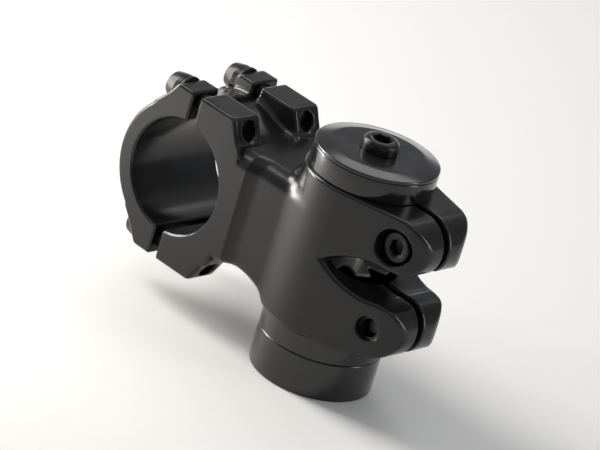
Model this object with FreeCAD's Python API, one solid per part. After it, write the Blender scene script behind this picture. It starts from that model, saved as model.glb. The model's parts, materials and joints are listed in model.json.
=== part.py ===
import FreeCAD, Part

import math
import os

from FreeCAD import Vector

os.makedirs("parts", exist_ok=True)

# Frame, in millimetres: Z runs up the steerer axis, X forward to the handlebar, Y to the rider's left.
# The origin is on the steerer axis, at the bottom face of the stem's steerer clamp.

# ---- what the stem clamps onto ----
steerer_diameter = 28.6
bar_diameter = 31.8

# ---- stem body ----
reach = 50.0                # steerer axis to handlebar axis
bar_height = 18.5           # handlebar axis above the bottom face
stem_height = 42.5
steerer_wall = 3.7          # wall round the steerer
bar_wall = 5.1              # wall round the handlebar
bar_clamp_width = 34.0
split_gap = 2.6             # between the body and the faceplate, centred on the handlebar axis
clamp_band = 13.0           # height of each band that grips the steerer, bottom and top
band_relief = 0.6           # how much wider the bore is between the two bands
slot_width = 2.2            # slot at the back of the steerer clamp

ear_half_width = 12.2       # at the pinch bolts
ear_radius = 8.3            # round the pinch bolts, seen from the side
ear_corner = 6.5            # rear corners of the ears, seen from above
pinch_gap = 7.9             # pinch bolt axes behind the steerer bore
pinch_top_inset = 8.3       # upper pinch bolt axis below the top face
pinch_bottom_inset = 10.2   # lower pinch bolt axis above the bottom face
notch_offset = 0.3          # middle of the notch above the middle between the pinch bolts
notch_wall = 7.2            # ear left between each pinch bolt's axis and the notch
notch_depth = 17.0          # notch tip ahead of the pinch bolts
notch_bulge_place = 0.62    # share of the notch's depth where its edges bulge
notch_bulge = 0.78          # share of the half gap that the notch has there

arm_inset = 2.8             # the arm's sides inside the steerer clamp's
arm_rise = 17.5             # the arm's top above the handlebar axis
arm_drop = 14.3             # top of the arch under the arm, below the handlebar axis
arch_start = 10.8           # start of that arch, ahead of the steerer axis
arm_edge = 5.0              # rounding along the arm's upper edges
flare_step = 1.8            # how much each side of the arm widens at the bar clamp
flare_radius = 5.0          # rounding of that widening

# ---- handlebar clamp bosses and faceplate ----
bolt_gap = 5.1              # faceplate bolt axes above and below the handlebar
bolt_inset = 5.5            # faceplate bolt axes inside the bar clamp's sides
boss_wall = 4.7             # inner side of each boss, from the bolt axis
boss_cover = 3.6            # boss top above the bolt axis
boss_depth = 12.8           # at the boss top
boss_edge = 1.0             # bevel along the boss and ear tops
boss_slope = 3.8            # how much deeper the boss is at the arm
back_wall = 7.0             # wall behind the handlebar, where the arm meets it
ear_thickness = 6.2         # faceplate ears, along the bolts
plate_shoulder = 52.0       # degrees above the handlebar axis where the ears meet the curved front

# ---- fasteners ----
m5_radius = 2.5
m6_radius = 3.0
thread_clearance = 0.05     # round a thread
hole_clearance = 0.25       # round a plain shank
head_clearance = 0.5        # round a head in its counterbore

plate_bolt_length = 22.0
plate_head_radius = 4.25
plate_head_tip = 3.5
plate_head_height = 5.0
m5_key = 4.0                # hexagon key across the flats
m5_key_depth = 2.8
bolt_bevel = 0.75           # at the bolt's tip
head_bevel = 0.5            # round the head's top
head_rim_share = 0.35       # straight part of the head's side, as a share of its height
m5_washer_radius = 4.5
m5_washer_height = 0.8
exit_recess_radius = 3.3
exit_recess_depth = 1.2

pinch_bolt_length = 16.0
pinch_head_radius = 4.2
pinch_head_height = 4.5
pinch_seat_depth = 6.6      # counterbore floor, from the ear's side at the pinch bolts

# ---- top cap, spacers and star nut ----
spacer_wall = 2.8           # outside of the spacers and cap, from the steerer's surface
spacer_bore_clearance = 0.2
cap_spacer_height = 6.0
thin_spacer_height = 6.0
thick_spacer_height = 11.0
spacer_chamfer = 0.4

cap_rim_height = 0.8
cap_crown_height = 1.5      # flat top, where the bolt head sits, above the spacer
cap_bevel_width = 4.1
cap_plug_height = 2.0       # plug inside the spacer
cap_plug_clearance = 0.35
cap_bolt_length = 30.0
cap_head_radius = 5.0
cap_head_height = 3.4
cap_head_rounding = 1.6
cap_bolt_bevel = 0.8
m6_key = 5.0
m6_key_depth = 2.6

star_depth = 20.5           # top of the star nut's core below the cap bolt's seat
star_core_height = 12.0
star_core_radius = 5.2
star_collar = 1.4           # collars at the ends of the core, outside the washers
star_neck_radius = 4.4
star_washer_height = 0.8
steerer_tube_wall = 1.6     # of the tube that the star washers grip from inside
star_bite = 0.2             # how far the teeth bite into that tube
star_root_radius = 8.6
star_teeth = 8

# ---- sizes that follow ----
steerer_radius = steerer_diameter / 2
bar_radius = bar_diameter / 2
clamp_radius = steerer_radius + steerer_wall
pinch_back = steerer_radius + pinch_gap
pinch_seat = ear_half_width - pinch_seat_depth
bar_outer = bar_radius + bar_wall
half_clamp = bar_clamp_width / 2
arm_top = bar_height + arm_rise
arm_arch = bar_height - arm_drop
bolt_rise = bar_radius + bolt_gap
bolt_side = half_clamp - bolt_inset
boss_inner = bolt_side - boss_wall
body_face = reach - split_gap / 2
plate_face = reach + split_gap / 2
boss_top = bar_height + bolt_rise + boss_cover
boss_bottom = bar_height - bolt_rise - boss_cover
boss_back = body_face - boss_depth
upper_pinch_height = stem_height - pinch_top_inset
lower_pinch_height = pinch_bottom_inset
notch_height = (upper_pinch_height + lower_pinch_height) / 2 + notch_offset
notch_half_gap = (upper_pinch_height - lower_pinch_height) / 2 - notch_wall
ear_back = pinch_back + ear_radius
ear_front = plate_face + ear_thickness
thread_hole = m5_radius + thread_clearance
shank_hole = m5_radius + hole_clearance
seat_hole = m5_washer_radius + head_clearance
spacer_radius = steerer_radius + spacer_wall
cap_base = stem_height + cap_spacer_height
cap_seat = cap_base + cap_crown_height
star_top = cap_seat - star_depth
star_washer_radius = steerer_radius - steerer_tube_wall + star_bite
far = 200.0                 # longer than anything on the stem
nearness = 0.01             # edges nearer than this to a plane lie in it


def cylinder(radius, start, direction, length):
    return Part.makeCylinder(radius, length, Vector(*start), Vector(*direction))


def block(low, high):
    low = Vector(*low)
    high = Vector(*high)
    size = high - low
    return Part.makeBox(size.x, size.y, size.z, low)


def side_slab(edges, half_width):
    """Extrude a side-view outline, given as edges at y = 0, to both sides of the middle plane."""
    outline = Part.Wire(edges)
    outline.translate(Vector(0, -half_width, 0))
    return Part.Face(outline).extrude(Vector(0, 2 * half_width, 0))


def line(start, end):
    return Part.LineSegment(Vector(*start), Vector(*end)).toShape()


def arc(start, middle, end):
    return Part.Arc(Vector(*start), Vector(*middle), Vector(*end)).toShape()


def polyline(points):
    return [line(a, b) for a, b in zip(points, points[1:])]


def lathe(points, centre=(0, 0, 0)):
    """Turn an outline of (radius, height) points about the vertical through centre."""
    corners = [Vector(radius, 0, height) for radius, height in points]
    outline = Part.makePolygon(corners + corners[:1])
    solid = Part.Face(outline).revolve(Vector(0, 0, 0), Vector(0, 0, 1), 360)
    solid.translate(Vector(*centre))
    return solid


def hexagon_socket(key, depth):
    """Hexagonal prism that opens upwards at z = 0 and reaches down to -depth."""
    corner = key / math.sqrt(3)
    corners = [
        Vector(corner * math.cos(math.radians(60 * side)), corner * math.sin(math.radians(60 * side)), -depth)
        for side in range(7)
    ]
    return Part.Face(Part.makePolygon(corners)).extrude(Vector(0, 0, depth))


def aim(shape, start, direction):
    """Move a shape made along +Z so that its origin is at start and its axis along direction."""
    shape.Placement = FreeCAD.Placement(
        Vector(*start), FreeCAD.Rotation(Vector(0, 0, 1), Vector(*direction))
    )
    return shape


def save(node, shape):
    clean = shape.removeSplitter()
    clean.exportStep("parts/" + node + ".step")


# ---- stem body: the steerer clamp with its two ears ----
def make_ears():
    """Two ears behind the steerer tube, parted by a notch, with sides tangent to the tube."""
    side_angle = math.atan2(ear_half_width, -pinch_back)
    side_angle -= math.acos(clamp_radius / math.hypot(pinch_back, ear_half_width))
    touch_x = clamp_radius * math.cos(side_angle)
    touch_y = clamp_radius * math.sin(side_angle)
    corner_x = -ear_back + ear_corner
    slope = (touch_y - ear_half_width) / (touch_x + pinch_back)
    corner_y = ear_half_width + slope * (corner_x + pinch_back)
    bend = math.radians(45)     # middle of the rounded rear corner
    bend_x = corner_x - ear_corner * math.sin(bend)
    bend_y = corner_y - ear_corner * (1 - math.cos(bend))
    end_y = corner_y - ear_corner
    plan = polyline([(corner_x, corner_y, 0), (touch_x, touch_y, 0), (0, touch_y, 0), (0, -touch_y, 0)])
    plan += polyline([(0, -touch_y, 0), (touch_x, -touch_y, 0), (corner_x, -corner_y, 0)])
    plan += [arc((corner_x, -corner_y, 0), (bend_x, -bend_y, 0), (-ear_back, -end_y, 0))]
    plan += [line((-ear_back, -end_y, 0), (-ear_back, end_y, 0))]
    plan += [arc((-ear_back, end_y, 0), (bend_x, bend_y, 0), (corner_x, corner_y, 0))]
    column = Part.Face(Part.Wire(plan)).extrude(Vector(0, 0, stem_height))

    upper = upper_pinch_height
    lower = lower_pinch_height
    back = -pinch_back
    lower_ends = [(back, 0, lower - ear_radius), (-ear_back, 0, lower), (back, 0, lower + ear_radius)]
    upper_ends = [(back, 0, upper - ear_radius), (-ear_back, 0, upper), (back, 0, upper + ear_radius)]
    side = polyline([(0, 0, stem_height), (0, 0, 0), (back + ear_radius, 0, 0), lower_ends[0]])
    side += [arc(*lower_ends), line(lower_ends[2], upper_ends[0]), arc(*upper_ends)]
    side += [line(upper_ends[2], (0, 0, stem_height))]
    ears = column.common(side_slab(side, far))

    tip = (back + notch_depth, 0, notch_height)
    upper_edge = notch_height + notch_half_gap
    lower_edge = notch_height - notch_half_gap
    bulge_x = back + notch_bulge_place * notch_depth
    bulge = notch_bulge * notch_half_gap
    notch = [arc(tip, (bulge_x, 0, notch_height + bulge), (back, 0, upper_edge))]
    notch += polyline([(back, 0, upper_edge), (-far, 0, upper_edge), (-far, 0, lower_edge)])
    notch += polyline([(-far, 0, lower_edge), (back, 0, lower_edge)])
    notch += [arc((back, 0, lower_edge), (bulge_x, 0, notch_height - bulge), tip)]
    return ears.cut(side_slab(notch, far))


# ---- stem body: the arm ----
def make_arm():
    """Arm from the steerer tube to the bar clamp: flared in plan, arched underneath."""
    flare_x = reach - bar_radius - back_wall
    end = boss_back
    root_side = clamp_radius - arm_inset
    side = half_clamp - flare_step
    turn = math.acos(1 - flare_step / flare_radius)
    start_x = flare_x - flare_radius * math.sin(turn)
    middle_x = start_x + flare_radius * math.sin(turn / 2)
    middle_y = side + flare_radius * (1 - math.cos(turn / 2))
    plan = polyline([(start_x, side, 0), (0, root_side, 0), (0, -root_side, 0), (start_x, -side, 0)])
    plan += [arc((start_x, -side, 0), (middle_x, -middle_y, 0), (flare_x, -half_clamp, 0))]
    plan += polyline([(flare_x, -half_clamp, 0), (end, -half_clamp, 0), (end, half_clamp, 0)])
    plan += [line((end, half_clamp, 0), (flare_x, half_clamp, 0))]
    plan += [arc((flare_x, half_clamp, 0), (middle_x, middle_y, 0), (start_x, side, 0))]
    column = Part.Face(Part.Wire(plan)).extrude(Vector(0, 0, arm_top))

    outline = polyline([(end, 0, 0), (end, 0, arm_top), (0, 0, arm_top), (0, 0, 0), (arch_start, 0, 0)])
    outline += [arc((arch_start, 0, 0), ((arch_start + end) / 2, 0, arm_arch), (end, 0, 0))]
    arm = column.common(side_slab(outline, far))
    upper_edges = []
    for edge in arm.Edges:
        on_top = edge.BoundBox.ZMin > arm_top - nearness
        if on_top and edge.BoundBox.XLength > nearness:
            upper_edges.append(edge)
    return arm.makeFillet(arm_edge, upper_edges)


# ---- stem body: the back half of the handlebar clamp ----
def make_bar_clamp():
    """Clamp block with four bosses; only the round wall crosses the valleys between them."""
    shoulder_x = boss_back - boss_slope
    back_x = reach - bar_radius - back_wall
    low_shoulder = bar_height - arm_rise
    side = polyline([
        (shoulder_x, 0, low_shoulder),
        (boss_back, 0, boss_bottom),
        (body_face - boss_edge, 0, boss_bottom),
        (body_face, 0, boss_bottom + boss_edge),
        (body_face, 0, boss_top - boss_edge),
        (body_face - boss_edge, 0, boss_top),
        (boss_back, 0, boss_top),
        (shoulder_x, 0, arm_top),
    ])
    side += [arc((shoulder_x, 0, arm_top), (back_x, 0, bar_height), (shoulder_x, 0, low_shoulder))]
    clamp = side_slab(side, half_clamp)
    valley_low = block((0, -boss_inner, -far), (reach + far, boss_inner, low_shoulder))
    valley_high = block((0, -boss_inner, arm_top), (reach + far, boss_inner, far))
    barrel = cylinder(bar_outer, (reach, -far, bar_height), (0, 1, 0), 2 * far)
    return clamp.cut(valley_low.fuse(valley_high).cut(barrel))


def make_pinch_cutter(height, side):
    """Counterbore, plain hole, thread and exit recess of one pinch bolt; side is where its head is."""
    out = (0, side, 0)
    back = (0, -side, 0)
    head = cylinder(seat_hole, (-pinch_back, side * pinch_seat, height), out, far)
    shank = cylinder(shank_hole, (-pinch_back, side * pinch_seat, height), back, pinch_seat)
    thread = cylinder(thread_hole, (-pinch_back, 0, height), back, far)
    recess_start = ear_half_width - exit_recess_depth
    recess = cylinder(exit_recess_radius, (-pinch_back, -side * recess_start, height), back, far)
    return head.fuse([shank, thread, recess])


def make_body():
    tube = cylinder(clamp_radius, (0, 0, 0), (0, 0, 1), stem_height)
    body = tube.fuse([make_ears(), make_arm(), make_bar_clamp()])
    for seat, out in ((stem_height, 1), (0, -1)):
        body = body.cut(cylinder(clamp_radius, (0, 0, seat), (0, 0, out), far))
    body = body.cut(cylinder(steerer_radius, (0, 0, -far), (0, 0, 1), 2 * far))
    relief_height = stem_height - 2 * clamp_band
    body = body.cut(cylinder(steerer_radius + band_relief, (0, 0, clamp_band), (0, 0, 1), relief_height))
    body = body.cut(cylinder(bar_radius, (reach, -far, bar_height), (0, 1, 0), 2 * far))
    body = body.cut(block((-far, -slot_width / 2, -far), (-steerer_radius / 2, slot_width / 2, far)))
    body = body.cut(make_pinch_cutter(upper_pinch_height, 1))
    body = body.cut(make_pinch_cutter(lower_pinch_height, -1))
    for up in (1, -1):
        for side in (1, -1):
            start = (body_face, side * bolt_side, bar_height + up * bolt_rise)
            body = body.cut(cylinder(thread_hole, start, (-1, 0, 0), boss_depth + boss_slope))
    return body


# ---- faceplate ----
def make_faceplate():
    """Curved plate over the front of the handlebar, with an ear for each bolt."""
    shoulder_angle = math.radians(plate_shoulder)
    shoulder_x = reach + bar_outer * math.cos(shoulder_angle)
    shoulder_rise = bar_outer * math.sin(shoulder_angle)
    front_x = reach + bar_outer
    high = (shoulder_x, 0, bar_height + shoulder_rise)
    low = (shoulder_x, 0, bar_height - shoulder_rise)
    side = polyline([
        low,
        (ear_front, 0, boss_bottom),
        (plate_face + boss_edge, 0, boss_bottom),
        (plate_face, 0, boss_bottom + boss_edge),
        (plate_face, 0, boss_top - boss_edge),
        (plate_face + boss_edge, 0, boss_top),
        (ear_front, 0, boss_top),
        high,
    ])
    side += [arc(high, (front_x, 0, bar_height), low)]
    plate = side_slab(side, half_clamp)
    barrel = cylinder(bar_outer, (reach, -far, bar_height), (0, 1, 0), 2 * far)
    valley = block((0, -boss_inner, -far), (reach + far, boss_inner, far))
    plate = plate.cut(valley.cut(barrel))
    plate = plate.cut(cylinder(bar_radius, (reach, -far, bar_height), (0, 1, 0), 2 * far))
    for up in (1, -1):
        for side in (1, -1):
            axis = (ear_front, side * bolt_side, bar_height + up * bolt_rise)
            plate = plate.cut(cylinder(shank_hole, axis, (-1, 0, 0), ear_thickness))
            plate = plate.cut(cylinder(seat_hole, axis, (1, 0, 0), far))
    return plate


# ---- fasteners, each made along +Z with its head's seat at z = 0 ----
def make_socket_bolt(length, head_radius, tip_radius, head_height):
    """M5 bolt; its head tapers from head_radius to tip_radius above a short straight rim."""
    rim = head_height * head_rim_share
    top = head_height - head_bevel
    outline = [(0, -length), (m5_radius - bolt_bevel, -length), (m5_radius, bolt_bevel - length)]
    outline += [(m5_radius, 0), (head_radius, 0), (head_radius, rim)]
    outline += [(tip_radius, top), (tip_radius - head_bevel, head_height), (0, head_height)]
    bolt = lathe(outline)
    socket = hexagon_socket(m5_key, m5_key_depth)
    socket.translate(Vector(0, 0, head_height))
    return bolt.cut(socket)


def make_washer():
    disc = cylinder(m5_washer_radius, (0, 0, 0), (0, 0, 1), m5_washer_height)
    return disc.cut(cylinder(thread_hole, (0, 0, 0), (0, 0, 1), m5_washer_height))


def make_cap_bolt():
    tip = -cap_bolt_length
    outline = [(0, tip), (m6_radius - cap_bolt_bevel, tip), (m6_radius, tip + cap_bolt_bevel)]
    outline += [(m6_radius, 0), (cap_head_radius, 0), (cap_head_radius, cap_head_height - cap_head_rounding)]
    outline += [(cap_head_radius - cap_head_rounding, cap_head_height), (0, cap_head_height)]
    bolt = lathe(outline)
    socket = hexagon_socket(m6_key, m6_key_depth)
    socket.translate(Vector(0, 0, cap_head_height))
    return bolt.cut(socket)


# ---- cap, spacers and star nut ----
def make_spacer(height):
    bore = steerer_radius + spacer_bore_clearance
    outline = [(bore, 0), (spacer_radius - spacer_chamfer, 0), (spacer_radius, spacer_chamfer)]
    outline += [(spacer_radius, height - spacer_chamfer), (spacer_radius - spacer_chamfer, height)]
    outline += [(bore, height)]
    return lathe(outline)


def make_cap():
    """Thin rim on the spacer, a gently bevelled crown, and a plug that centres it in the spacer."""
    plug = steerer_radius - cap_plug_clearance
    hole = m6_radius + hole_clearance
    crown = spacer_radius - cap_bevel_width
    outline = [(hole, -cap_plug_height), (plug, -cap_plug_height), (plug, 0), (spacer_radius, 0)]
    outline += [(spacer_radius, cap_rim_height), (crown, cap_crown_height), (hole, cap_crown_height)]
    return lathe(outline)


def make_star_core():
    """Threaded core; a collar at each end traps a star washer on a narrower neck."""
    bore = m6_radius + thread_clearance
    height = star_core_height
    low_neck = star_collar + star_washer_height
    high_neck = height - low_neck
    outline = [(bore, 0), (star_core_radius, 0), (star_core_radius, star_collar)]
    outline += [(star_neck_radius, star_collar)]
    outline += [(star_neck_radius, low_neck), (star_core_radius, low_neck), (star_core_radius, high_neck)]
    outline += [(star_neck_radius, high_neck), (star_neck_radius, height - star_collar)]
    outline += [(star_core_radius, height - star_collar), (star_core_radius, height), (bore, height)]
    return lathe(outline)


def make_star_washer():
    """Flat spring washer with pointed teeth that bite into a steerer tube."""
    flank = [(0.0, star_root_radius), (0.2, star_washer_radius)]
    flank += [(0.6, star_washer_radius), (0.8, star_root_radius)]
    corners = []
    for tooth in range(star_teeth):
        for share, radius in flank:
            angle = 2 * math.pi * (tooth + share) / star_teeth
            corners.append(Vector(radius * math.cos(angle), radius * math.sin(angle), 0))
    plate = Part.Face(Part.makePolygon(corners + corners[:1])).extrude(Vector(0, 0, star_washer_height))
    return plate.cut(cylinder(star_neck_radius, (0, 0, 0), (0, 0, 1), star_washer_height))


save("stem_body", make_body())
save("faceplate", make_faceplate())

for high, up in (("upper", 1), ("lower", -1)):
    for hand, side in (("left", 1), ("right", -1)):
        axis = (side * bolt_side, bar_height + up * bolt_rise)
        save("faceplate_washer_" + high + "_" + hand, aim(make_washer(), (ear_front, *axis), (1, 0, 0)))
        bolt = make_socket_bolt(plate_bolt_length, plate_head_radius, plate_head_tip, plate_head_height)
        seat = ear_front + m5_washer_height
        save("faceplate_bolt_" + high + "_" + hand, aim(bolt, (seat, *axis), (1, 0, 0)))

for high, height, side in (("upper", upper_pinch_height, 1), ("lower", lower_pinch_height, -1)):
    save("pinch_washer_" + high, aim(make_washer(), (-pinch_back, side * pinch_seat, height), (0, side, 0)))
    bolt = make_socket_bolt(pinch_bolt_length, pinch_head_radius, pinch_head_radius, pinch_head_height)
    seat = pinch_seat + m5_washer_height
    save("pinch_bolt_" + high, aim(bolt, (-pinch_back, side * seat, height), (0, side, 0)))

save("cap_spacer", aim(make_spacer(cap_spacer_height), (0, 0, stem_height), (0, 0, 1)))
save("spacer_thin", aim(make_spacer(thin_spacer_height), (0, 0, -thin_spacer_height), (0, 0, 1)))
stack_bottom = -thin_spacer_height - thick_spacer_height
save("spacer_thick", aim(make_spacer(thick_spacer_height), (0, 0, stack_bottom), (0, 0, 1)))
save("top_cap", aim(make_cap(), (0, 0, cap_base), (0, 0, 1)))
save("top_cap_bolt", aim(make_cap_bolt(), (0, 0, cap_seat), (0, 0, 1)))

star_bottom = star_top - star_core_height
low_washer = star_bottom + star_collar
high_washer = star_top - star_collar - star_washer_height
save("star_nut_core", aim(make_star_core(), (0, 0, star_bottom), (0, 0, 1)))
save("star_washer_lower", aim(make_star_washer(), (0, 0, low_washer), (0, 0, 1)))
save("star_washer_upper", aim(make_star_washer(), (0, 0, high_washer), (0, 0, 1)))
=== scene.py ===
import json
import math

import bpy
import numpy as np
from mathutils import Matrix, Vector


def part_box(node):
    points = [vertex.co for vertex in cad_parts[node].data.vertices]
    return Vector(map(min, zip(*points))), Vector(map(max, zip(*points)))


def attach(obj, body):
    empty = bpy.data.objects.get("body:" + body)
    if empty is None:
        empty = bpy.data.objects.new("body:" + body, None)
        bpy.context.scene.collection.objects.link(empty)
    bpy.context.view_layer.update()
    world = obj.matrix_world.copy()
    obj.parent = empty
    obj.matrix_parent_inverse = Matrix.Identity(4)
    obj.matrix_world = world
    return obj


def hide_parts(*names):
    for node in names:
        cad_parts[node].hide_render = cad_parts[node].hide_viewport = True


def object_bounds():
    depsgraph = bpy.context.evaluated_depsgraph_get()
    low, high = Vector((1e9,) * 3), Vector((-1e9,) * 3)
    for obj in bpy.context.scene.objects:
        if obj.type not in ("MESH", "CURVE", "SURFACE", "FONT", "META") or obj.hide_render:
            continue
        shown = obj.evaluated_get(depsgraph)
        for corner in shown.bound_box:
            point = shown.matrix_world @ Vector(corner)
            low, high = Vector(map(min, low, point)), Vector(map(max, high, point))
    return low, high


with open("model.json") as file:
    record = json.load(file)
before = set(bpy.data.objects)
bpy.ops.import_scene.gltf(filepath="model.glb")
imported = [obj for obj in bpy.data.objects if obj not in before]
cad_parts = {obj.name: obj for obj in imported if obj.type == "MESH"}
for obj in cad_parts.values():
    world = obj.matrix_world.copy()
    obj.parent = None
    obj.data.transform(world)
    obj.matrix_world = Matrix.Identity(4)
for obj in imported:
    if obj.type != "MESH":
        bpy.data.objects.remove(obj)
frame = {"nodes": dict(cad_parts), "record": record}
cadLow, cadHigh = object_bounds()

# All sizes below are in millimetres; meshes are scaled to metres when they are made.
mm = 0.001
farAway = 1e3
mounts = {mount["name"]: mount for mount in frame["record"]["mounts"]}
steererRadius = mounts["steerer_clamp"]["dims"]["r_mm"]
barRadius = mounts["handlebar_clamp"]["dims"]["r_mm"]
barHalf = mounts["handlebar_clamp"]["dims"]["length_mm"] / 2
barX = mounts["handlebar_clamp"]["pos_m"][0] / mm
barZ = mounts["handlebar_clamp"]["pos_m"][2] / mm


def boxOf(node):
    low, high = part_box(node)
    return np.array(low) / mm, np.array(high) / mm


def middleOf(node):
    low, high = boxOf(node)
    return (low + high) / 2


def meshFrom(name, points, faces):   # faces is one array with a row of vertex numbers for each face
    mesh = bpy.data.meshes.new(name)
    sides = faces.shape[1]
    mesh.vertices.add(len(points))
    mesh.vertices.foreach_set("co", (points * mm).astype(np.float32).ravel())
    mesh.loops.add(faces.size)
    mesh.loops.foreach_set("vertex_index", faces.astype(np.int32).ravel())
    mesh.polygons.add(len(faces))
    mesh.polygons.foreach_set("loop_start", np.arange(0, faces.size, sides, dtype=np.int32))
    mesh.update(calc_edges=True)
    mesh.validate()
    piece = bpy.data.objects.new(name, mesh)
    bpy.context.scene.collection.objects.link(piece)
    return piece


# A tube of points: rows run along the profile, columns round the axis, and a fan closes each end.
def closedGrid(name, points):
    rows, columns = points.shape[:2]
    flat = points.reshape(-1, 3)
    row, column = np.meshgrid(np.arange(rows - 1), np.arange(columns), indexing="ij")
    following = (column + 1) % columns
    quads = np.stack([row * columns + column, row * columns + following,
                      (row + 1) * columns + following, (row + 1) * columns + column], -1).reshape(-1, 4)
    around = np.arange(columns)
    onward = (around + 1) % columns
    last = (rows - 1) * columns
    startPole, endPole = len(flat), len(flat) + 1
    poles = np.stack([points[0].mean(0), points[-1].mean(0)])
    triangles = np.concatenate([
        np.stack([np.full(columns, startPole), onward, around], -1),
        np.stack([np.full(columns, endPole), last + around, last + onward], -1)])
    halves = np.concatenate([quads[:, [0, 1, 2]], quads[:, [0, 2, 3]], triangles])
    return meshFrom(name, np.concatenate([flat, poles]), halves)


# The same for a ring: the profile is a loop, so its last row joins its first.
def closedRing(name, points):
    rows, columns = points.shape[:2]
    row, column = np.meshgrid(np.arange(rows), np.arange(columns), indexing="ij")
    nextRow = (row + 1) % rows
    following = (column + 1) % columns
    quads = np.stack([row * columns + column, row * columns + following,
                      nextRow * columns + following, nextRow * columns + column], -1).reshape(-1, 4)
    return meshFrom(name, points.reshape(-1, 3), quads)


# Rounds each corner of a profile of (radius, height, corner radius) points with a short arc.
def roundedProfile(corners, loop=False, steps=4):
    corners = np.array(corners, float)
    path = []
    for number, (radius, height, rounding) in enumerate(corners):
        here = np.array([radius, height])
        atEnd = number in (0, len(corners) - 1) and not loop
        if atEnd or rounding == 0:
            path.append(here)
            continue
        before = corners[number - 1, :2] - here
        after = corners[(number + 1) % len(corners), :2] - here
        before /= np.linalg.norm(before)
        after /= np.linalg.norm(after)
        share = np.linspace(0, 1, steps + 1)[:, None]
        start, end = here + before * rounding, here + after * rounding
        path.extend((1 - share) ** 2 * start + 2 * share * (1 - share) * here + share ** 2 * end)
    return np.array(path)


def shadeByAngle(piece, degrees=32):
    piece.data.shade_smooth()
    piece.data.set_sharp_from_angle(angle=math.radians(degrees))


# Carries a piece made along +Z to its place: start is the origin, axis the new +Z.
def aimed(points, start, axis):
    turn = np.array(Vector((0, 0, 1)).rotation_difference(Vector(axis)).to_matrix())
    return points @ turn.T + np.array(start)


# Solids are distance fields below: a value for each point, negative inside and zero on the surface.
def joinRound(a, b, radius):    # both together, with a fillet in the inner corner
    inner = np.hypot(np.maximum(radius - a, 0), np.maximum(radius - b, 0))
    return np.maximum(radius, np.minimum(a, b)) - inner


def meetRound(a, b, radius):    # what they share, with the outer edge rounded
    outer = np.hypot(np.maximum(radius + a, 0), np.maximum(radius + b, 0))
    return np.minimum(-radius, np.maximum(a, b)) + outer


def meetBevel(a, b, width):     # what they share, with a flat bevel on the edge
    return np.maximum(np.maximum(a, b), (a + b + width) * math.sqrt(0.5))


def cutRound(a, b, radius):
    return meetRound(a, -b, radius)


def cutBevel(a, b, width):
    return meetBevel(a, -b, width)


def slopeOf(field, points, reachOut=0.02):   # direction in which a field grows fastest
    slope = np.empty_like(points)
    for axis in range(3):
        offset = np.zeros(3)
        offset[axis] = reachOut
        ahead, behind = points + offset, points - offset
        slope[:, axis] = field(*ahead.T) - field(*behind.T)
    size = np.linalg.norm(slope, axis=1)
    return slope / np.maximum(size, 1e-9)[:, None], size / (2 * reachOut)


# Dual contouring. The field is sampled on a grid of cubes; each cube that the surface crosses gets one
# vertex, where the planes that touch the surface on the cube's edges meet best; each crossed grid edge
# gets one face between the four cubes round it.
def fieldSurface(name, field, low, high, step, triangles, bendField):
    low = np.array(low) - 2 * step
    counts = np.ceil((np.array(high) + 2 * step - low) / step).astype(int) + 1
    lines = [low[axis] + step * np.arange(counts[axis]) for axis in range(3)]
    x, y, z = np.meshgrid(*lines, indexing="ij")
    value = field(x, y, z)
    strides = np.array([counts[1] * counts[2], counts[2], 1])
    crossings, slopes, offsets, cubes, faces = [], [], [], [], []
    for axis in range(3):
        first = np.moveaxis(value, axis, 0)[:-1]
        second = np.moveaxis(value, axis, 0)[1:]
        crossed = (first < 0) != (second < 0)
        index = np.argwhere(crossed)
        share = first[crossed] / (first[crossed] - second[crossed])
        inside = first[crossed] < 0
        order = [axis] + [other for other in range(3) if other != axis]
        place = np.empty_like(index)
        place[:, order] = index
        point = place.astype(float)
        point[:, axis] += share
        point = low + point * step
        slope, size = slopeOf(field, point)
        height = field(*point.T) / np.maximum(size, 0.2)   # no long step where the slope fades
        one, two = (axis + 1) % 3, (axis + 2) % 3
        home = place @ strides
        ring = np.stack([home, home - strides[one], home - strides[one] - strides[two],
                         home - strides[two]], -1)
        crossings.append(np.repeat(point, 4, 0))
        slopes.append(np.repeat(slope, 4, 0))
        offsets.append(np.repeat((slope * point).sum(1) - height, 4))
        cubes.append(ring.ravel())
        faces.append(np.where(inside[:, None], ring, ring[:, ::-1]))
    crossings, slopes = np.concatenate(crossings), np.concatenate(slopes)
    offsets, cubes, faces = np.concatenate(offsets), np.concatenate(cubes), np.concatenate(faces)
    used, where = np.unique(cubes, return_inverse=True)

    def total(weights):
        return np.bincount(where, weights, len(used))

    number = total(np.ones(len(where)))
    mean = np.stack([total(crossings[:, axis]) for axis in range(3)], -1) / number[:, None]
    square = np.empty((len(used), 3, 3))
    for a in range(3):
        for b in range(3):
            square[:, a, b] = total(slopes[:, a] * slopes[:, b])
    right = np.stack([total(slopes[:, axis] * offsets) for axis in range(3)], -1)
    right -= np.einsum("nab,nb->na", square, mean)
    square += 0.05 * np.eye(3)   # a slight pull to the mean, where the planes are nearly parallel
    moved = mean + np.linalg.solve(square, right[:, :, None])[:, :, 0]
    corner = np.stack(np.unravel_index(used, counts), -1) * step + low
    moved = np.clip(moved, corner, corner + step)
    piece = meshFrom(name, moved, np.searchsorted(used, faces))
    thinned(piece, triangles)
    fieldShading(piece, field, bendField)
    print(name, "has", len(piece.data.polygons), "triangles")
    return piece


def thinned(piece, triangles):   # keeps the surface, with fewer faces where it is flat
    full = 2 * len(piece.data.polygons)
    modifier = piece.modifiers.new("thin", "DECIMATE")
    modifier.ratio = min(1.0, triangles / full)
    modifier.use_collapse_triangulate = True
    evaluated = piece.evaluated_get(bpy.context.evaluated_depsgraph_get())
    mesh = bpy.data.meshes.new_from_object(evaluated)
    mesh.name = piece.name
    piece.modifiers.clear()
    piece.data = mesh


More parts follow.
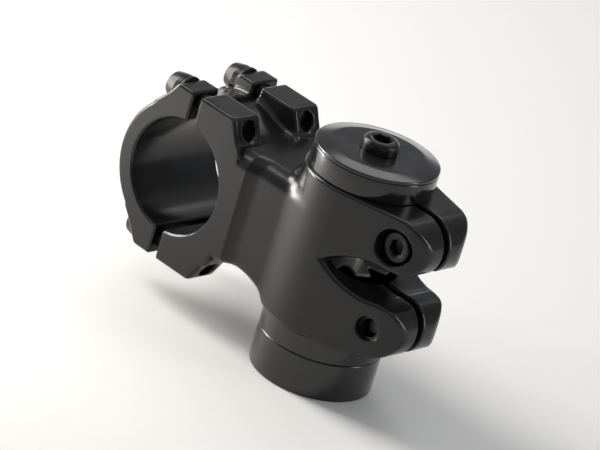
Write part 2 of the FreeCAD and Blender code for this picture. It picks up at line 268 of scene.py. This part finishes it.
# Vertices are drawn back onto the surface. Each face corner takes the field's direction at its vertex,
# or a little inside its face where the two differ, so that sharp edges stay sharp. Each vertex keeps
# how much bendField, the solid without its small holes, bends there: positive on outer edges.
def fieldShading(piece, field, bendField, inset=0.15, pull=0.15, spread=0.7):
    mesh = piece.data
    place = np.empty(len(mesh.vertices) * 3, np.float32)
    mesh.vertices.foreach_get("co", place)
    place = place.reshape(-1, 3).astype(float) / mm
    slope, size = slopeOf(field, place)
    drawn = np.clip(field(*place.T), -pull, pull)
    place -= slope * drawn[:, None] * (size > 0.9)[:, None]   # not where two faces meet and the slope is unsure
    mesh.vertices.foreach_set("co", (place * mm).astype(np.float32).ravel())
    corner = np.empty(len(mesh.loops), np.int32)
    mesh.loops.foreach_get("vertex_index", corner)
    triangle = place[corner.reshape(-1, 3)]
    centre = triangle.mean(1, keepdims=True)
    inner = slopeOf(field, (triangle + inset * (centre - triangle)).reshape(-1, 3))[0]
    normal = slopeOf(field, place)[0][corner]
    creased = (normal * inner).sum(1) < math.cos(math.radians(20))
    normal[creased] = inner[creased]
    flat = np.cross(triangle[:, 1] - triangle[:, 0], triangle[:, 2] - triangle[:, 0])
    flat /= np.maximum(np.linalg.norm(flat, axis=1, keepdims=True), 1e-12)
    flat = np.repeat(flat, 3, 0)
    astray = (normal * flat).sum(1) < 0.5
    normal[astray] = flat[astray]
    mesh.shade_smooth()
    mesh.normals_split_custom_set(normal)
    around = -6 * bendField(*place.T)
    for axis in range(3):
        offset = np.zeros(3)
        offset[axis] = spread
        around += bendField(*(place + offset).T) + bendField(*(place - offset).T)
    bend = mesh.attributes.new("bend", "FLOAT", "POINT")
    bend.data.foreach_set("value", (around / spread).astype(np.float32))


# Stem body: walls, radii, edges and bores in millimetres; step is the grid that the surface is found on.
stemShape = {
    "steererWall": 3.7, "band": 13.0, "relief": 0.6, "slotWidth": 2.2,
    "earHalf": 12.2, "earRadius": 8.3, "earCorner": 6.5, "edge": 0.8,
    "notchRise": 0.3, "notchWall": 7.2, "notchDepth": 17.0, "notchBulgePlace": 0.62, "notchBulge": 0.78,
    "notchEdge": 1.3, "armInset": 2.8, "armRise": 17.5, "armDrop": 14.3, "archStart": 10.8,
    "armEdge": 5.0, "armLowEdge": 2.6, "flareStep": 1.8, "flareLength": 4.2, "armFillet": 2.7,
    "barWall": 5.1, "splitGap": 2.6, "bossWall": 4.7, "bossCover": 3.6, "bossDepth": 12.8,
    "bossSlope": 3.8, "backWall": 7.0, "bossEdge": 1.0, "bossFillet": 1.8, "bossRoot": 1.5, "splitBevel": 0.5,
    "threadHole": 2.55, "shankHole": 2.75, "seatHole": 5.0, "pinchSeat": 5.6,
    "exitRadius": 3.3, "exitDepth": 1.2, "holeEdge": 0.5, "slotEdge": 0.35, "step": 0.44, "triangles": 185000,
}
stemHeight = boxOf("cap_spacer")[0][2]
pinchUpper = middleOf("pinch_bolt_upper")
pinchLower = middleOf("pinch_bolt_lower")
plateBolt = middleOf("faceplate_bolt_upper_left")
boltRise = plateBolt[2] - barZ
boltSide = plateBolt[1]


# Both pinch bolts' holes: for each, the nearest of a counterbore, a plain hole, a thread and an exit recess,
# which are cylinders along Y that start or stop at a plane.
def pinchHoles(x, y, z):
    shape = stemShape
    field = np.full_like(x, farAway)
    for bolt, side in ((pinchUpper, 1), (pinchLower, -1)):
        radial = np.hypot(x - bolt[0], z - bolt[2])
        out = y * side
        seat = np.maximum(radial - shape["seatHole"], shape["pinchSeat"] - out)
        shank = np.maximum(radial - shape["shankHole"], -out)
        thread = radial - shape["threadHole"]
        recess = np.maximum(radial - shape["exitRadius"], out + shape["earHalf"] - shape["exitDepth"])
        field = np.minimum(field, np.minimum(np.minimum(seat, recess), np.minimum(shank, thread)))
    return field


# The four threaded holes through the bosses: cylinders along X, mirrored in Y and in height.
def bossHoles(x, y, z):
    radial = np.hypot(np.abs(y) - boltSide, np.abs(z - barZ) - boltRise)
    return np.maximum(radial - stemShape["threadHole"], barX - barRadius - stemShape["backWall"] - x)


# The pinch ears. In plan, two planes touch the clamp's circle and meet a rear plane in round corners. From the
# side, a round end about each pinch bolt, with the column between them, which slopes away at the bottom.
def earField(x, y, z):
    shape = stemShape
    clampRadius = steererRadius + shape["steererWall"]
    back = -pinchUpper[0]
    earBack = back + shape["earRadius"]
    angle = math.atan2(shape["earHalf"], -back) - math.acos(clampRadius / math.hypot(back, shape["earHalf"]))
    sides = x * math.cos(angle) + np.abs(y) * math.sin(angle) - clampRadius
    plan = meetRound(sides, -x - earBack - shape["edge"], shape["earCorner"])
    plan = np.maximum(plan, x - clampRadius * math.cos(angle))
    upper = np.hypot(x + back, z - pinchUpper[2]) - shape["earRadius"]
    lower = np.hypot(x + back, z - pinchLower[2]) - shape["earRadius"]
    lowest = pinchLower[2] - shape["earRadius"]
    tilt = math.hypot(lowest, shape["earRadius"])
    underside = (-(x + back - shape["earRadius"]) * lowest - z * shape["earRadius"]) / tilt
    column = np.maximum(np.maximum(-x - back, z - stemHeight), np.maximum(-z, underside))
    outline = np.minimum(column, np.minimum(upper, lower))
    return meetRound(plan, outline, shape["edge"])


# The notch between the ears: an arc through its tip, its bulge and its full height, mirrored about its middle,
# and straight from there to the rear.
def notchField(x, z):
    shape = stemShape
    back = pinchUpper[0]
    middle = (pinchUpper[2] + pinchLower[2]) / 2 + shape["notchRise"]
    half = (pinchUpper[2] - pinchLower[2]) / 2 - shape["notchWall"]
    tip = back + shape["notchDepth"]
    bulge = np.array([back + shape["notchBulgePlace"] * shape["notchDepth"], shape["notchBulge"] * half])
    ends = np.array([[tip, 0.0], bulge, [back, half]])
    rows = 2 * (ends[1:] - ends[0])
    centre = np.linalg.solve(rows, (ends[1:] ** 2).sum(1) - (ends[0] ** 2).sum())
    radius = np.linalg.norm(ends[0] - centre)
    rise = np.abs(z - middle)
    leaf = np.hypot(x - centre[0], rise - centre[1]) - radius
    return np.minimum(leaf, np.maximum(rise - half, x - back))


# The arm: two sides that flare towards the bosses, a flat top with round edges, and an arc cut underneath.
def armField(x, y, z):
    shape = stemShape
    clampRadius = steererRadius + shape["steererWall"]
    flareX = barX - barRadius - shape["backWall"]
    end = barX - shape["splitGap"] / 2 - shape["bossDepth"]
    top = barZ + shape["armRise"]
    share = np.clip((x - flareX + shape["flareLength"]) / shape["flareLength"], 0, 1)
    side = clampRadius - shape["armInset"] + shape["flareStep"] * share ** 2
    upper = meetRound(np.abs(y) - side, z - top, shape["armEdge"])
    halfSpan = (end - shape["archStart"]) / 2
    rise = barZ - shape["armDrop"]
    archRadius = (halfSpan ** 2 + rise ** 2) / (2 * rise)
    arch = archRadius - np.hypot(x - shape["archStart"] - halfSpan, z - rise + archRadius)
    arm = meetRound(upper, arch, shape["armLowEdge"])
    return np.maximum(arm, np.maximum(-x, x - end))


# The handlebar clamp: a web with a curved back, a round barrel, and a boss for each bolt whose back slopes
# down to the arm. Height is mirrored about the handlebar.
def clampField(x, y, z):
    shape = stemShape
    rise = np.abs(z - barZ)
    across = np.abs(y)
    back = barX - shape["splitGap"] / 2 - shape["bossDepth"]
    top = boltRise + shape["bossCover"]
    shoulder = np.array([back - shape["bossSlope"], shape["armRise"]])
    depth = shoulder[0] - (barX - barRadius - shape["backWall"])
    curve = (shape["armRise"] ** 2 + depth ** 2) / (2 * depth)
    web = np.maximum(np.hypot(x - shoulder[0] + depth - curve, rise) - curve, rise - shape["armRise"])
    barrel = np.hypot(x - barX, rise) - barRadius - shape["barWall"]
    run = np.array([back, top]) - shoulder
    run /= np.linalg.norm(run)
    rear = (rise - shoulder[1]) * run[0] - (x - shoulder[0]) * run[1]
    block = meetRound(rise - top, rear, shape["bossEdge"])
    block = meetRound(block, boltSide - shape["bossWall"] - across, shape["bossEdge"])
    block = np.maximum(block, shape["armRise"] - shape["bossRoot"] - rise)
    clamp = joinRound(joinRound(web, barrel, shape["bossFillet"]), block, shape["bossFillet"])
    return meetRound(clamp, across - barHalf, shape["bossEdge"])


# The body without its bolt holes: the joined fields, less the notch, the two bores with their bevels, the
# relief between the steerer bore's two bands, and the slot.
def stemSolid(x, y, z):
    shape = stemShape
    radial = np.hypot(x, y)
    clampRadius = steererRadius + shape["steererWall"]
    tube = meetRound(radial - clampRadius, z - stemHeight, shape["edge"])
    body = joinRound(tube, armField(x, y, z), shape["armFillet"])
    body = meetRound(body, -z, shape["edge"])
    body = np.minimum(body, clampField(x, y, z))
    body = np.minimum(body, earField(x, y, z))
    body = cutRound(body, np.maximum(notchField(x, z), x), shape["notchEdge"])
    body = meetBevel(body, x - barX + shape["splitGap"] / 2, shape["splitBevel"])
    body = cutBevel(body, np.hypot(x - barX, z - barZ) - barRadius, shape["splitBevel"])
    body = cutBevel(body, radial - steererRadius, shape["splitBevel"])
    relief = np.maximum(radial - steererRadius - shape["relief"],
                        np.maximum(shape["band"] - z, z - stemHeight + shape["band"]))
    body = np.maximum(body, -relief)
    slot = np.maximum(np.abs(y) - shape["slotWidth"] / 2, x + steererRadius / 2)
    return cutRound(body, slot, shape["slotEdge"])


def stemField(x, y, z):
    body = cutRound(stemSolid(x, y, z), pinchHoles(x, y, z), stemShape["holeEdge"])
    return cutRound(body, bossHoles(x, y, z), stemShape["holeEdge"])


plateShape = {
    "barWall": 5.1, "splitGap": 2.6, "earThickness": 6.2, "shoulder": 52.0, "bossWall": 4.7,
    "bossCover": 3.6, "edge": 1.0, "fillet": 1.8, "splitBevel": 0.5,
    "shankHole": 2.75, "seatHole": 5.0, "holeEdge": 0.35, "step": 0.34, "triangles": 110000,
}


# The faceplate without its holes: the barrel's front half, and ears between each corner and a plane that runs
# from the barrel's shoulder to the ear's front.
def plateSolid(x, y, z):
    shape = plateShape
    rise, across = np.abs(z - barZ), np.abs(y)
    outer = barRadius + shape["barWall"]
    face = barX + shape["splitGap"] / 2
    front = face + shape["earThickness"]
    top = boltRise + shape["bossCover"]
    inner = boltSide - shape["bossWall"]
    barrel = np.hypot(x - barX, rise) - outer
    angle = math.radians(shape["shoulder"])
    shoulder = np.array([barX + outer * math.cos(angle), outer * math.sin(angle)])
    run = np.array([front, top]) - shoulder
    run /= np.linalg.norm(run)
    slope = (x - shoulder[0]) * run[1] - (rise - shoulder[1]) * run[0]
    ear = meetRound(rise - top, slope, shape["edge"])
    ear = meetRound(ear, inner - across, shape["edge"])
    ear = np.maximum(ear, shoulder[1] - rise)
    plate = meetRound(joinRound(barrel, ear, shape["fillet"]), across - barHalf, shape["edge"])
    plate = meetBevel(plate, face - x, shape["splitBevel"])
    return cutBevel(plate, np.hypot(x - barX, z - barZ) - barRadius, shape["splitBevel"])


def plateField(x, y, z):
    shape = plateShape
    front = barX + shape["splitGap"] / 2 + shape["earThickness"]
    radial = np.hypot(np.abs(y) - boltSide, np.abs(z - barZ) - boltRise)
    seat = np.maximum(radial - shape["seatHole"], front - x)
    plate = cutRound(plateSolid(x, y, z), seat, shape["holeEdge"])
    return cutRound(plate, radial - shape["shankHole"], shape["holeEdge"])


def makeForgings():
    low, high = boxOf("stem_body")
    body = fieldSurface("stemBody", stemField, low, high, stemShape["step"], stemShape["triangles"], stemSolid)
    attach(body, "stem")
    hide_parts("stem_body")
    low, high = boxOf("faceplate")
    plate = fieldSurface("facePlate", plateField, low, high, plateShape["step"], plateShape["triangles"],
                         plateSolid)
    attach(plate, "plate")
    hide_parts("faceplate")
    return [body, plate]


plateBoltShape = {
    "shank": 2.48, "length": 22.0, "pitch": 0.8, "threadDepth": 0.42, "plain": 5.0, "rim": 4.25,
    "tip": 3.5, "height": 5.0, "rimHeight": 1.75, "edge": 0.5, "key": 4.0, "keyDepth": 2.8,
    "keyBevel": 0.3, "drillDepth": 0.5, "ridges": 0, "ridgeDepth": 0.0, "tipBevel": 0.9, "turnSteps": 7,
    "columns": 96,
}
pinchBoltShape = dict(plateBoltShape, length=16.0, plain=4.0, rim=4.2, tip=4.2, height=4.5,
                      rimHeight=1.6, edge=0.5, ridges=24, ridgeDepth=0.12)
capBoltShape = {
    "shank": 2.96, "length": 30.0, "pitch": 1.0, "threadDepth": 0.52, "plain": 4.0, "rim": 5.0,
    "tip": 5.0, "height": 3.4, "rimHeight": 1.2, "edge": 1.5, "key": 5.0, "keyDepth": 2.6,
    "keyBevel": 0.3, "drillDepth": 0.5, "ridges": 0, "ridgeDepth": 0.0, "tipBevel": 0.9, "turnSteps": 7,
    "columns": 96,
}


# A bolt along +Z with its head's seat at zero. The profile runs from the bottom of the hexagon socket
# over the head and down the shank; each row's radius is its profile radius, stretched to a hexagon in
# the socket, rippled on a ridged head, and cut by a groove that climbs one pitch a turn on the thread.
def boltPoints(shape):
    height, key = shape["height"], shape["key"] / 2
    floor = height - shape["keyDepth"]
    corner = shape["key"] / math.sqrt(3)
    socket = [[0.3 * key, floor - shape["drillDepth"], 0], [0.9 * key, floor, 1], [key, floor + 0.1, 1],
              [key, height - shape["keyBevel"], 1], [corner + shape["keyBevel"], height, 0]]
    head = roundedProfile([[corner + shape["keyBevel"], height, 0], [shape["tip"], height, shape["edge"]],
                           [shape["rim"], shape["rimHeight"], 0.2], [shape["rim"], 0, 0.15],
                           [shape["shank"], 0, 0]], steps=5)[1:]
    rows = [[radius, level, hexagon, 0, 0] for radius, level, hexagon in socket]
    for radius, level in head:
        onSide = shape["tip"] == shape["rim"] and radius > shape["rim"] - 0.01 and 0.1 < level
        rows.append([radius, level, 0, shape["ridgeDepth"] * onSide, 0])
    rows = np.array(rows)
    last = shape["length"] - shape["tipBevel"]
    down = np.arange(shape["plain"], last, shape["pitch"] / shape["turnSteps"])
    thread = np.zeros((len(down), 5))
    thread[:, 0], thread[:, 1] = shape["shank"], -down
    thread[:, 4] = shape["threadDepth"] * np.clip((down - shape["plain"]) / shape["pitch"], 0, 1)
    plain = np.array([[shape["shank"], -0.15, 0, 0, 0], [shape["shank"], 0.01 - shape["plain"], 0, 0, 0]])
    end = np.array([[shape["shank"] - 0.75, -shape["length"] + 0.05, 0, 0, 0],
                    [shape["shank"] - 1.0, -shape["length"], 0, 0, 0]])
    rows = np.concatenate([rows, plain, thread, end])
    turn = np.linspace(0, 2 * math.pi, shape["columns"], endpoint=False)
    sixth = math.pi / 3
    hexagon = 1 / np.cos((turn + sixth / 2) % sixth - sixth / 2)
    radius = rows[:, :1] * (1 + rows[:, 2:3] * (hexagon - 1))
    ridge = np.abs((turn * shape["ridges"] / (2 * math.pi)) % 1 - 0.5) * 2
    radius = radius - rows[:, 3:4] * ridge
    groove = (rows[:, 1:2] / shape["pitch"] - turn / (2 * math.pi)) % 1
    radius = radius - rows[:, 4:5] * np.clip(1.15 * (1 - np.abs(2 * groove - 1)) - 0.1, 0, 1)
    level = np.broadcast_to(rows[:, 1:2], radius.shape)
    return np.stack([radius * np.cos(turn), radius * np.sin(turn), level], -1)[::-1]


def makeBolt(name, node, body, shape, start, axis):
    bolt = closedGrid(name, aimed(boltPoints(shape), start, axis))
    shadeByAngle(bolt, 40)
    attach(bolt, body)
    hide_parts(node)
    return bolt


# A ring is a closed profile of radius and height, turned about its axis.
def turnedRing(name, corners, start, axis, columns, steps=4):
    profile = roundedProfile(corners, loop=True, steps=steps)
    turn = np.linspace(0, 2 * math.pi, columns, endpoint=False)
    radius = profile[:, :1]
    level = np.broadcast_to(profile[:, 1:], (len(profile), columns))
    points = np.stack([radius * np.cos(turn), radius * np.sin(turn), level], -1)
    ring = closedRing(name, aimed(points, start, axis))
    shadeByAngle(ring)
    return ring


washerShape = {"inner": 2.55, "outer": 4.5, "height": 0.77, "edge": 0.18, "columns": 96}


def makeWasher(name, node, body, start, axis):
    shape = washerShape
    corners = [[shape["inner"], 0, shape["edge"] / 2], [shape["outer"], 0, shape["edge"]],
               [shape["outer"], shape["height"], shape["edge"]],
               [shape["inner"], shape["height"], shape["edge"]]]
    washer = turnedRing(name, corners, start, axis, shape["columns"])
    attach(washer, body)
    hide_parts(node)
    return washer


def makeFasteners():
    bolts, washers = [], []
    for high in ("upper", "lower"):
        for hand in ("left", "right"):
            low, top = boxOf("faceplate_washer_" + high + "_" + hand)
            middle = (low + top) / 2
            end = high + "_" + hand
            body = "faceplate_screw_" + end
            title = high.capitalize() + hand.capitalize()
            washers.append(makeWasher("plateWasher" + title, "faceplate_washer_" + end, body + "_slide",
                                      (low[0], middle[1], middle[2]), (1, 0, 0)))
            bolts.append(makeBolt("plateBolt" + title, "faceplate_bolt_" + end, body, plateBoltShape,
                                  (top[0], middle[1], middle[2]), (1, 0, 0)))
    for high, side in (("upper", 1), ("lower", -1)):
        low, top = boxOf("pinch_washer_" + high)
        middle = (low + top) / 2
        near, farther = (low, top) if side > 0 else (top, low)
        body = "pinch_screw_" + high
        title = high.capitalize()
        washers.append(makeWasher("pinchWasher" + title, "pinch_washer_" + high, body + "_slide",
                                  (middle[0], near[1], middle[2]), (0, side, 0)))
        bolts.append(makeBolt("pinchBolt" + title, "pinch_bolt_" + high, body, pinchBoltShape,
                              (middle[0], farther[1], middle[2]), (0, side, 0)))
    seat = boxOf("top_cap")[1][2]
    bolts.append(makeBolt("capBolt", "top_cap_bolt", "cap_screw", capBoltShape, (0, 0, seat), (0, 0, 1)))
    return bolts, washers


spacerShape = {"inner": 14.5, "outer": 17.1, "edge": 0.45, "columns": 256}
capShape = {"hole": 3.25, "plug": 13.95, "outer": 17.1, "rim": 0.8, "crown": 13.0, "columns": 256}


def makeSpacers():
    shape = spacerShape
    spacers = []
    for node, name in (("cap_spacer", "capSpacer"), ("spacer_thin", "thinSpacer"),
                       ("spacer_thick", "thickSpacer")):
        low, high = boxOf(node)
        height = high[2] - low[2]
        corners = [[shape["inner"], 0, 0.25], [shape["outer"], 0, shape["edge"]],
                   [shape["outer"], height, shape["edge"]], [shape["inner"], height, 0.25]]
        spacer = turnedRing(name, corners, (0, 0, low[2]), (0, 0, 1), shape["columns"])
        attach(spacer, "stem")
        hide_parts(node)
        spacers.append(spacer)
    return spacers


def makeCap():
    shape = capShape
    low, high = boxOf("top_cap")
    base = boxOf("cap_spacer")[1][2]
    top, bottom = high[2] - base, low[2] - base
    corners = [[shape["hole"], bottom, 0.2], [shape["plug"], bottom, 0.4], [shape["plug"], 0, 0],
               [shape["outer"], 0, 0.12], [shape["outer"], shape["rim"], 0.3], [shape["crown"], top, 0.35],
               [shape["hole"], top, 0.15]]
    cap = turnedRing("topCap", corners, (0, 0, base), (0, 0, 1), shape["columns"])
    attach(cap, "cap_screw_slide")
    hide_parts("top_cap")
    return cap


class Nodes:   # a short way to add and link shader nodes
    def __init__(self, name):
        self.material = bpy.data.materials.new(name)
        self.material.use_nodes = True
        self.tree = self.material.node_tree
        self.shader = self.tree.nodes["Principled BSDF"]
        self.place = self.add("ShaderNodeTexCoord").outputs["Object"]

    def add(self, kind, **settings):
        node = self.tree.nodes.new(kind)
        for key, value in settings.items():
            setattr(node, key, value)
        return node

    def link(self, source, socket):
        self.tree.links.new(source, socket)

    def noise(self, scale, detail=4.0, rough=0.55, stretch=(1, 1, 1)):
        mapping = self.add("ShaderNodeMapping")
        mapping.inputs["Scale"].default_value = stretch
        self.link(self.place, mapping.inputs["Vector"])
        noise = self.add("ShaderNodeTexNoise")
        noise.inputs["Scale"].default_value = scale
        noise.inputs["Detail"].default_value = detail
        noise.inputs["Roughness"].default_value = rough
        self.link(mapping.outputs["Vector"], noise.inputs["Vector"])
        return noise.outputs["Fac"]

    def ranged(self, source, low, high, start=0.0, end=1.0):
        spread = self.add("ShaderNodeMapRange")
        for key, value in (("From Min", low), ("From Max", high), ("To Min", start), ("To Max", end)):
            spread.inputs[key].default_value = value
        self.link(source, spread.inputs["Value"])
        return spread.outputs["Result"]

    def blended(self, factor, one, two):
        mix = self.add("ShaderNodeMix", data_type="RGBA")
        for socket, value in ((mix.inputs[6], one), (mix.inputs[7], two)):
            if isinstance(value, tuple):
                socket.default_value = (*value, 1.0)
            else:
                self.link(value, socket)
        self.link(factor, mix.inputs["Factor"])
        return mix.outputs[2]

    def total(self, one, two, operation="ADD"):
        step = self.add("ShaderNodeMath", operation=operation)
        for socket, value in zip(step.inputs, (one, two)):
            if isinstance(value, (int, float)):
                socket.default_value = value
            else:
                self.link(value, socket)
        return step.outputs["Value"]

    def bump(self, height, strength, distance):
        bump = self.add("ShaderNodeBump")
        bump.inputs["Strength"].default_value = strength
        bump.inputs["Distance"].default_value = distance
        self.link(height, bump.inputs["Height"])
        self.link(bump.outputs["Normal"], self.shader.inputs["Normal"])


forgedFinish = {
    "dark": (0.0055, 0.0055, 0.0058), "light": (0.0095, 0.0093, 0.0091), "worn": (0.035, 0.0345, 0.034),
    "gloss": (0.17, 0.27), "edgeGloss": -0.04, "bend": (0.35, 1.2), "grainScale": 4200, "grainDepth": 0.00005,
}
turnedFinish = {
    "dark": (0.008, 0.008, 0.0085), "light": (0.014, 0.0138, 0.0135), "ringScale": 900, "ringDepth": 0.00004,
    "ringStretch": (0.02, 0.02, 1),
}


# Black anodised forging: a blasted grain finer than a quarter millimetre, slow changes of tone and
# gloss, and outer edges a little paler and smoother from handling.
def forgedBlack():
    finish = forgedFinish
    nodes = Nodes("forgedBlack")
    tone = nodes.noise(90, 3)
    grain = nodes.noise(finish["grainScale"], 3, 0.6)
    smear = nodes.noise(160, 5, 0.6, (1, 1, 0.35))
    bend = nodes.add("ShaderNodeAttribute", attribute_name="bend").outputs["Fac"]
    edge = nodes.ranged(bend, *finish["bend"])
    base = nodes.blended(tone, finish["dark"], finish["light"])
    worn = nodes.total(edge, nodes.ranged(smear, 0.35, 0.7, 0.15, 0.6), "MULTIPLY")
    nodes.link(nodes.blended(worn, base, finish["worn"]), nodes.shader.inputs["Base Color"])
    rough = nodes.total(nodes.ranged(smear, 0.3, 0.75, *finish["gloss"]),
                        nodes.ranged(edge, 0, 1, 0, finish["edgeGloss"]))
    nodes.link(rough, nodes.shader.inputs["Roughness"])
    nodes.shader.inputs["IOR"].default_value = 1.4
    nodes.shader.inputs["Coat Weight"].default_value = 0.12
    nodes.shader.inputs["Coat Roughness"].default_value = 0.12
    nodes.bump(grain, 0.22, finish["grainDepth"])
    return nodes.material


# Black anodised turned part: the same colour with faint rings left by the lathe.
def turnedBlack(name, gloss):
    finish = turnedFinish
    nodes = Nodes(name)
    tone = nodes.noise(120, 3)
    rings = nodes.noise(finish["ringScale"], 2, 0.5, finish["ringStretch"])
    smear = nodes.noise(200, 4)
    nodes.link(nodes.blended(tone, finish["dark"], finish["light"]), nodes.shader.inputs["Base Color"])
    nodes.link(nodes.ranged(smear, 0.3, 0.7, gloss, gloss + 0.1), nodes.shader.inputs["Roughness"])
    nodes.shader.inputs["IOR"].default_value = 1.5
    nodes.shader.inputs["Coat Weight"].default_value = 0.2
    nodes.shader.inputs["Coat Roughness"].default_value = 0.12
    nodes.bump(rings, 0.12, finish["ringDepth"])
    return nodes.material


# Plated or oxide-black steel: two tones that shift over a few millimetres, and a fine grain.
def boltSteel(name, dark, pale, gloss):
    nodes = Nodes(name)
    tone = nodes.noise(700, 4, 0.6)
    grain = nodes.noise(3500, 3)
    nodes.link(nodes.blended(nodes.ranged(tone, 0.3, 0.7), dark, pale), nodes.shader.inputs["Base Color"])
    nodes.link(nodes.ranged(tone, 0.3, 0.7, gloss, gloss + 0.14), nodes.shader.inputs["Roughness"])
    nodes.shader.inputs["Metallic"].default_value = 0.75
    nodes.bump(grain, 0.18, 0.00004)
    return nodes.material


def paint(pieces, material):
    for piece in pieces:
        piece.data.materials.clear()
        piece.data.materials.append(material)


stageSettings = {
    "floorSize": 6.0, "floorTone": (0.80, 0.79, 0.77), "worldTone": (0.92, 0.95, 1.0), "worldStrength": 0.25,
    "azimuth": 216.6, "elevation": 23.6, "roll": 17.1, "distance": 1.123, "lens": 252.0,
    "aim": (0.0175, 0.0, 0.0182),
}


def makeFloor():
    size = stageSettings["floorSize"]
    low = cadLow[2]
    floor = meshFrom("floor", np.array([[-1, -1, 0], [1, -1, 0], [1, 1, 0], [-1, 1, 0]]) * size / 2 / mm
                     + np.array([0, 0, low / mm]), np.array([[0, 1, 2, 3]]))
    nodes = Nodes("paleFloor")
    nodes.link(nodes.blended(nodes.noise(3, 2), stageSettings["floorTone"],
                             tuple(0.97 * part for part in stageSettings["floorTone"])),
               nodes.shader.inputs["Base Color"])
    nodes.shader.inputs["Roughness"].default_value = 0.75
    paint([floor], nodes.material)


# Each soft box: name, place, the point it faces, width and height in metres, watts and colour.
softBoxes = (
    ("keyBox", (0.57, 0.14, 0.28), (0.02, 0, 0.02), (0.22, 0.6), 6.0, (1.0, 0.97, 0.93)),
    ("lowBox", (0.20, 0.10, 0.03), (0.08, 0.04, -0.012), (0.03, 0.1), 0.28, (1.0, 0.95, 0.89)),
    ("topBox", (0.35, -0.6, 1.0), (0.02, 0, 0.02), (0.6, 0.6), 1.7, (1.0, 1.0, 1.0)),
    ("ceilingBox", (0.2, -0.4, 2.6), (0.2, -0.4, 0), (5, 5), 23, (1.0, 1.0, 1.0)),
    ("rearBox", (0.66, -0.88, 0.16), (0.02, 0, 0.02), (1.5, 0.3), 1.7, (1.0, 1.0, 1.0)),
    ("sideBox", (-0.9, -0.5, 0.35), (0.02, 0, 0.02), (0.2, 0.8), 3.2, (0.93, 0.96, 1.0)),
)


def softBox(name, place, target, size, power, tone):
    light = bpy.data.lights.new(name, "AREA")
    light.shape = "RECTANGLE"
    light.size, light.size_y = size
    light.energy = power
    light.color = tone
    lamp = bpy.data.objects.new(name, light)
    bpy.context.scene.collection.objects.link(lamp)
    lamp.location = place
    lamp.rotation_euler = (Vector(target) - Vector(place)).to_track_quat("-Z", "Y").to_euler()
    lamp.visible_camera = False
    return lamp


def makeLights():
    world = bpy.data.worlds.new("studio")
    bpy.context.scene.world = world
    world.use_nodes = True
    background = world.node_tree.nodes["Background"]
    background.inputs["Color"].default_value = (*stageSettings["worldTone"], 1.0)
    background.inputs["Strength"].default_value = stageSettings["worldStrength"]
    for lamp in softBoxes:
        softBox(*lamp)
    bpy.context.scene.view_settings.view_transform = "Standard"


def makeCamera():
    settings = stageSettings
    azimuth, elevation = math.radians(settings["azimuth"]), math.radians(settings["elevation"])
    back = Vector((math.sin(azimuth) * math.cos(elevation), -math.cos(azimuth) * math.cos(elevation),
                   math.sin(elevation)))
    lens = bpy.data.cameras.new("camera")
    lens.lens = settings["lens"]
    lens.sensor_width = 36.0
    lens.clip_start, lens.clip_end = 0.05, 20.0
    camera = bpy.data.objects.new("camera", lens)
    bpy.context.scene.collection.objects.link(camera)
    turn = back.to_track_quat("Z", "Y").to_matrix() @ Matrix.Rotation(math.radians(settings["roll"]), 3, "Z")
    place = Vector(settings["aim"]) + back * settings["distance"]
    camera.matrix_world = Matrix.Translation(place) @ turn.to_4x4()
    bpy.context.scene.camera = camera


makeCamera()
makeFloor()
makeLights()
print("stage is ready")

forgings = makeForgings()
print("stem body and faceplate are ready")
bolts, washers = makeFasteners()
spacers = makeSpacers()
cap = makeCap()
print("fasteners, spacers and cap are ready")

paint(forgings, forgedBlack())
paint(spacers, turnedBlack("spacerBlack", 0.13))
paint([cap], turnedBlack("capBlack", 0.12))
paint(bolts, boltSteel("blackOxide", (0.014, 0.014, 0.015), (0.035, 0.034, 0.034), 0.26))
paint(washers, boltSteel("blackZinc", (0.02, 0.02, 0.022), (0.05, 0.05, 0.052), 0.3))
zinc = boltSteel("paleZinc", (0.42, 0.42, 0.40), (0.62, 0.61, 0.56), 0.28)
paint([frame["nodes"][node] for node in ("star_nut_core", "star_washer_lower", "star_washer_upper")], zinc)
print("materials are ready")
